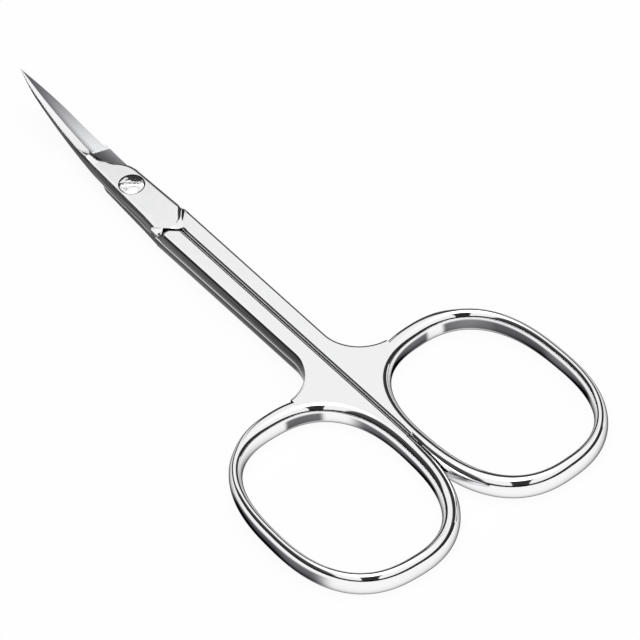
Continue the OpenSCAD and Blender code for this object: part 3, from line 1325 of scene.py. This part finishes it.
        head = foot
        for _ in range(4):
            top = self.outer(x, head)
            head = max(self.wall(x, top), narrow)
        top = max(top, floor)
        room = min((head - edge) * self.edge_share / self.edge_width, 1.0)
        fine = 1.0
        if self.upper:
            fine -= self.fine_share * limited((x - self.fine_start) / self.fine_length)
        back = min((top - low) * self.edge_share / self.edge_drop, room, fine)
        front = min((height(edge) - low) * self.edge_share / self.edge_drop, room)
        back_w, back_d = self.edge_width * back, self.edge_drop * back
        front_w, front_d = self.edge_width * front, self.edge_drop * front
        quarter = [math.pi / 2 * k / self.bend_steps for k in range(self.bend_steps + 1)]
        points = [(y, low) for y in spread([(edge, self.lap_steps), (foot, 0)])[:-1]]
        for level in spread([(low, self.wall_steps), (top - back_d, 0)])[:-1]:
            points.append((max(self.wall(x, level), edge), level))
        for angle in quarter[:-1]:
            y = head - back_w * (1 - math.cos(angle))
            points.append((y, height(y) - back_d * (1 - math.sin(angle))))
        for y in spread([(head - back_w, self.face_steps), (edge + front_w, 0)]):
            points.append((y, height(y)))
        for angle in quarter[1:]:
            y = edge + front_w * (1 - math.sin(angle))
            points.append((y, height(y) - front_d * (1 - math.cos(angle))))
        for level in spread([(points[-1][1], self.edge_steps), (low, 0)])[1:-1]:
            points.append((edge, level))
        return [self._slanted(x, y, level) for y, level in points]

    def _slanted(self, x: float, y: float, height: float) -> Triple:
        """Moves a point of the plate's root lengthwise, so that it ends on the slanted lines.

        Args:
            x: Distance from the pivot axis.
            y: Distance from the centre line, towards the spine.
            height: Height above the mid-plane.

        Returns:
            The moved point.
        """
        share = (x + self.shoulder_reach) / self.root_length
        if share >= 1:
            return x, y, height
        root, head, r = self.root_x(y), self.wall(x, height), self.corner_r
        start = head - r * (1 - math.cos(self.slant))
        if y > start:
            run = math.sqrt(max(r * r - (y - head + r) ** 2, 0.0))
            root = self.root_x(start) + r * math.sin(self.slant) - run
        moved = root + (-self.shoulder_reach + self.root_length - root) * max(share, 0.0)
        if height > 1:
            here, there = self.outer(x, y), self.outer(moved, y)
            height = there - max(here - min(height, there - here + height), 0.0)
        return moved, y, height

    def stations(self) -> list[float]:
        """Places along the blade at which a section is taken."""
        plate = {Side.UPPER: [(-4.7, 16), (1.3, 90), (9.0, 60), (17.0, 50)],
                 Side.LOWER: [(-4.7, 16), (2.8, 60), (7.6, 14), (8.04, 1), (8.05, 60), (13.0, 50)]}
        root = (-self.shoulder_reach, 40 if self.upper else 30)
        return spread([root, *plate[self.side], (20.9, 16), (self.tip_reach, 0)])

    def build(self) -> Workpiece:
        """Lofts the plate and the blade through their sections.

        Returns:
            The blade, in its half's own place.
        """
        sections = [self.section(x) for x in self.stations()]
        rows, columns = len(sections) - 1, len(sections[0])
        sign = self.side.sign

        def place(u: float, v: float) -> Vector:
            """The sections' point at these shares, turned over for the lower half."""
            x, y, height = sections[round(u * rows)][round(v * columns) % columns]
            return Vector((x, sign * y, sign * height))

        def finish(face: bmesh.types.BMFace) -> Finish:
            """Satin on the lap face, ground on the upright sides, polished elsewhere."""
            if face.normal.z * sign < -LEVEL:
                return Finish.SATIN
            upright = abs(face.normal.y) > SIDEWAYS and abs(face.normal.z) < UPRIGHT
            return Finish.FLANK if upright else Finish.POLISHED

        work = Workpiece()
        work.skin(rows, columns, place)
        work.close(weld=SAME_POINT)
        work.finish_faces(finish)
        return work


@dataclass
class PivotScrew:
    """Slotted screw with a low dome, sunk in the upper plate and flush underneath."""

    head_d: float = 3.1
    bearing_d: float = 2.0
    thread_d: float = 1.8
    head_rim: float = 0.2
    head_dome: float = 0.16
    dome_steps: int = 12
    edge_r: float = 0.05
    edge_middle: Span = (0.018, 0.005)
    slot_w: float = 0.62
    slot_depth: float = 0.5
    slot_angle: float = 54.0
    slot_bevel: float = 0.025
    sharp_angle: float = 1.0
    sharp_height: float = 1.0
    plate: float = MID_HEIGHT - PLATE_DROP

    def profile(self) -> list[Span]:
        """Half section of the screw.

        Returns:
            Its points, from the middle of its dome to the middle of its foot.
        """
        r, top = self.head_d / 2, self.plate + self.head_dome
        dome_r = (r * r + self.head_dome ** 2) / (2 * self.head_dome)
        points = []
        for k in range(self.dome_steps + 1):
            x = (r - self.edge_r) * k / self.dome_steps
            points.append((x, top - dome_r + math.sqrt(dome_r ** 2 - x * x)))
        points += [(r - self.edge_middle[0], self.plate - self.edge_middle[1])]
        points += [(r, self.plate - self.edge_r)]
        seat = self.plate - self.head_rim - (self.head_d - self.bearing_d) / 2
        points += [(r, self.plate - self.head_rim), (self.bearing_d / 2, seat)]
        points += [(self.bearing_d / 2, 0.0), (self.thread_d / 2, 0.0)]
        return points + [(self.thread_d / 2, -MID_HEIGHT), (0.0, -MID_HEIGHT)]

    def build(self) -> Workpiece:
        """Turns the screw, cuts its slot and breaks the sharp edges of its head.

        Returns:
            The screw, in place.
        """
        work = turned(self.profile())
        mesh = work.mesh
        self._cut_slot(mesh)
        work.close(weld=SAME_POINT)
        sharp = [edge for edge in mesh.edges
                 if edge.is_manifold and edge.calc_face_angle(0) > self.sharp_angle
                 and min(vert.co.z for vert in edge.verts) > self.sharp_height]
        bmesh.ops.bevel(mesh, geom=sharp, offset=self.slot_bevel, affect="EDGES", segments=2,
                        profile=0.5, material=-1, clamp_overlap=True)
        # The bevel leaves its faces in any order; as triangles they shade alike in every run.
        bmesh.ops.triangulate(mesh, faces=mesh.faces[:], quad_method="SHORT_EDGE",
                              ngon_method="BEAUTY")
        return work

    def _cut_slot(self, mesh: bmesh.types.BMesh) -> None:
        """Cuts the driver's slot across the head.

        Args:
            mesh: The turned screw.
        """
        angle = math.radians(self.slot_angle)
        across = Vector((-math.sin(angle), math.cos(angle), 0.0))
        floor = self.plate + self.head_dome - self.slot_depth
        half = self.slot_w / 2
        level = (Vector((0, 0, floor)), Vector((0, 0, 1)))
        for spot, normal in ((across * half, across), (across * -half, across), level):
            bmesh.ops.bisect_plane(mesh, geom=mesh.verts[:] + mesh.edges[:] + mesh.faces[:],
                                   dist=SAME_POINT / 10, plane_co=spot, plane_no=normal)
        middles = [(face, face.calc_center_median()) for face in mesh.faces]
        inside = [face for face, spot in middles if abs(spot.dot(across)) < half and spot.z > floor]
        bmesh.ops.delete(mesh, geom=inside, context="FACES")
        sides = [edge for edge in mesh.edges if edge.is_boundary
                 and all(abs(abs(vert.co.dot(across)) - half) < 10 * SAME_POINT
                         for vert in edge.verts)
                 and max(vert.co.z for vert in edge.verts) > floor + SAME_POINT]
        drawn = bmesh.ops.extrude_edge_only(mesh, edges=sides)
        for item in drawn["geom"]:
            if isinstance(item, bmesh.types.BMVert):
                item.co.z = floor
        bmesh.ops.remove_doubles(mesh, verts=mesh.verts[:], dist=SAME_POINT)


def hang(piece: bpy.types.Object, body: str, node: str) -> None:
    """Tells the frame what a piece is, and reports it.

    Args:
        piece: The finished piece.
        body: Body that it rides on.
        node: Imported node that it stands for.
    """
    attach(piece, body)
    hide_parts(node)
    log.info("%s: %d faces", piece.name, len(piece.data.polygons))


@dataclass
class Half:
    """One half of the scissors: ring, handle, plate and blade."""

    side: Side
    materials: dict[Finish, bpy.types.Material]
    seat_floor: float = 0.9
    seat_r: float = 1.25
    countersink: Span = (1.62, 1.24)
    thread_r: float = 0.91
    past_face: float = 2.0

    def seat(self) -> list[Span]:
        """Half section of the screw's pocket.

        Returns:
            A countersink for the upper half, or the thread's hole for the lower one.
        """
        low, out, r = self.seat_floor, self.past_face, self.thread_r
        if self.side is Side.LOWER:
            return [(0.0, -out), (r, -out), (r, -low), (0.0, -low)]
        wide = self.countersink[0]
        return [(0.0, low), (self.seat_r, low), self.countersink, (wide, out), (0.0, out)]

    def build(self) -> list[bpy.types.Object]:
        """Builds the pieces of this half and hangs them on its body.

        Returns:
            The pieces.
        """
        ring = FingerRing()
        slots = [self.materials[finish] for finish in Finish]
        name, turn = self.side.value, self.side.handle_turn
        pieces = [
            ring.build().piece(f"{name}_finger_ring", slots, turn),
            Handle(ring).build().piece(f"{name}_handle", slots, turn),
            Blade(self.side).build().piece(f"{name}_blade", slots),
        ]
        bore(pieces[-1], self.seat())
        for piece in pieces:
            hang(piece, name, self.side.node)
        return pieces


@dataclass(frozen=True)
class LightTent:
    """White tent round the table: open behind the camera and dark towards the horizon.

    Directions are given by their height, their share ahead of the camera and to its right.
    """

    level: float = 0.91
    hem: Span = (0.485, 0.528)
    hem_tilt: float = 0.3
    raised_across: Span = (-0.08, -0.2)
    raised_front: Span = (0.35, 0.55)
    raised_tilt: float = 0.25
    raised_lift: float = 0.12
    soft_edge: float = 0.03
    window_level: float = 1.1
    window_edge: float = 0.02
    window_across: Span = (0.2, 0.9)
    window_height: Span = (-0.3, 0.14)
    window_front: Span = (0.1, 0.3)
    side_across: Span = (-0.56, -0.64)
    side_front: Span = (0.5, 0.42)
    opening_edge: float = 0.012
    opening_across: Span = (-0.125, 0.235)
    opening_height: Span = (-0.1, 0.86)
    opening_front: Span = (-0.14, -0.2)
    dark_share: float = 0.97
    roof: Span = (0.78, 1.0)
    roof_level: float = 0.14
    haze: Span = (0.0, 0.5)
    haze_level: float = 0.03
    least_level: float = 0.01

    def strength(self, height: Signal, front: Signal, across: Signal) -> Signal:
        """Brightness in a direction.

        Args:
            height: Its height.
            front: Its share ahead of the camera.
            across: Its share to the camera's right.

        Returns:
            The brightness.
        """
        raised = across.step(*self.raised_across) * front.step(*self.raised_front)
        tilt = raised * self.raised_tilt - self.hem_tilt
        hem = height + front * tilt + raised * self.raised_lift
        side = across.step(*self.side_across) * front.step(*self.side_front)
        tent = hem.step(*self.hem) * (1.0 - side * self.dark_share)
        window = across.band(*self.window_across, self.window_edge)
        window = window * height.band(*self.window_height, self.soft_edge)
        window = window * front.step(*self.window_front)
        opening = across.band(*self.opening_across, self.opening_edge)
        opening = opening * height.band(*self.opening_height, self.soft_edge)
        opening = opening * front.step(*self.opening_front)
        light = tent * self.level + window * self.window_level
        light = light + height.step(*self.roof) * self.roof_level
        light = light + height.step(*self.haze) * self.haze_level + self.least_level
        return light * (1.0 - opening * self.dark_share)


@dataclass
class Studio:
    """Camera, floor and soft light of the product table."""

    target: Vector = field(default_factory=lambda: Vector((-0.03057, -0.00406, 0.0016)))
    azimuth: float = 54.23
    elevation: float = 47.78
    roll: float = -3.93
    distance: float = 1.1075
    focal_pixels: float = 9465.4
    image_pixels: int = 640
    sensor: float = 36.0
    clip: Span = (0.05, 20.0)
    floor_size: float = 3.0
    floor_drop: float = 0.03 * METRES
    floor_white: float = 0.92
    paper: Colour = (0.9, 0.9, 0.9)
    lamp_place: Triple = (-0.03, 0.0, 0.9)
    lamp_size: float = 0.7
    lamp_power: float = 3.2

    def axes(self) -> tuple[Vector, Vector, Vector]:
        """Directions of the picture.

        Returns:
            To its right, up it and into it.
        """
        azimuth, elevation = math.radians(self.azimuth), math.radians(self.elevation)
        into = Vector((
            math.sin(azimuth) * math.cos(elevation),
            -math.cos(azimuth) * math.cos(elevation),
            -math.sin(elevation),
        ))
        level = into.cross(Vector((0, 0, 1))).normalized()
        up, spin = level.cross(into), math.radians(self.roll)
        right = level * math.cos(spin) + up * math.sin(spin)
        return right, up * math.cos(spin) - level * math.sin(spin), into

    def add_camera(self) -> None:
        """Places the camera at the photograph's viewing angle."""
        right, up, into = self.axes()
        data = bpy.data.cameras.new("table_camera")
        data.sensor_fit = "HORIZONTAL"
        data.sensor_width = self.sensor
        data.lens = self.focal_pixels * self.sensor / self.image_pixels
        data.clip_start, data.clip_end = self.clip
        camera = bpy.data.objects.new("table_camera", data)
        turn = Matrix((right, up, -into)).transposed().to_4x4()
        camera.matrix_world = Matrix.Translation(self.target - into * self.distance) @ turn
        bpy.context.scene.collection.objects.link(camera)
        bpy.context.scene.camera = camera

    def add_floor(self) -> None:
        """Lays a plain white floor that keeps a faint shadow."""
        mesh = bmesh.new()
        bmesh.ops.create_grid(mesh, x_segments=8, y_segments=8, size=self.floor_size)
        bmesh.ops.translate(mesh, verts=mesh.verts[:], vec=(0, 0, -self.floor_drop))
        data = bpy.data.meshes.new("table_top")
        mesh.to_mesh(data)
        mesh.free()
        floor = bpy.data.objects.new("table_top", data)
        bpy.context.scene.collection.objects.link(floor)
        material = bpy.data.materials.new("white_table")
        material.use_nodes = True
        shade = Shading(material.node_tree)
        rays = shade.node("ShaderNodeLightPath").outputs
        kinds = ("Is Camera Ray", "Is Glossy Ray", "Is Transmission Ray")
        seen = sum((shade.signal(rays[kind]) for kind in kinds), start=0.0)
        white = seen.step(0.0, 1.0) * self.floor_white
        paper = shade.node("ShaderNodeBsdfDiffuse", Color=(*self.paper, 1.0))
        glow = shade.node("ShaderNodeEmission", Color=(1.0, 1.0, 1.0, 1.0), Strength=1.0)
        mixed = shade.node("ShaderNodeMixShader", _0=white, _1=paper.outputs[0],
                           _2=glow.outputs[0])
        shade.node("ShaderNodeOutputMaterial", Surface=mixed.outputs[0])
        data.materials.append(material)

    def add_light(self) -> None:
        """Surrounds the table with the light tent and hangs one soft panel over it."""
        world = bpy.data.worlds.new("light_tent")
        world.use_nodes = True
        bpy.context.scene.world = world
        shade = Shading(world.node_tree)
        way = shade.place("Generated")
        into = self.axes()[2]
        ahead = Vector((into.x, into.y, 0.0)).normalized()

        def along(axis: Vector) -> Signal:
            """Share of the direction along an axis."""
            settings = {"operation": "DOT_PRODUCT"}
            made = shade.node("ShaderNodeVectorMath", settings, _0=way, _1=axis)
            return shade.signal(made.outputs["Value"])

        strength = LightTent().strength(shade.parts(way)[2], along(ahead),
                                        along(Vector((ahead.y, -ahead.x, 0.0))))
        back = shade.node("ShaderNodeBackground", Color=(1.0, 1.0, 1.0, 1.0), Strength=strength)
        shade.node("ShaderNodeOutputWorld", Surface=back.outputs[0])
        lamp = bpy.data.lights.new("overhead_panel", "AREA")
        lamp.shape, lamp.energy = "RECTANGLE", self.lamp_power
        lamp.size, lamp.size_y = self.lamp_size, self.lamp_size
        panel = bpy.data.objects.new("overhead_panel", lamp)
        panel.location = self.lamp_place
        bpy.context.scene.collection.objects.link(panel)


def main() -> None:
    """Builds the scissors and the table they lie on."""
    logging.basicConfig(level=logging.INFO, format="%(name)s: %(message)s")
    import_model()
    studio = Studio()
    studio.add_camera()
    materials = {
        Finish.POLISHED: Plating().material(),
        Finish.FLANK: Flank().material(),
        Finish.SATIN: Satin().material(),
    }
    for side in Side:
        Half(side, materials).build()
    screw = PivotScrew().build().piece("slotted_screw", [ScrewSteel().material()])
    hang(screw, "lower", "pivot_screw")
    studio.add_floor()
    studio.add_light()
    bpy.context.scene.view_settings.view_transform = "Standard"


if __name__ == "__main__":
    main()
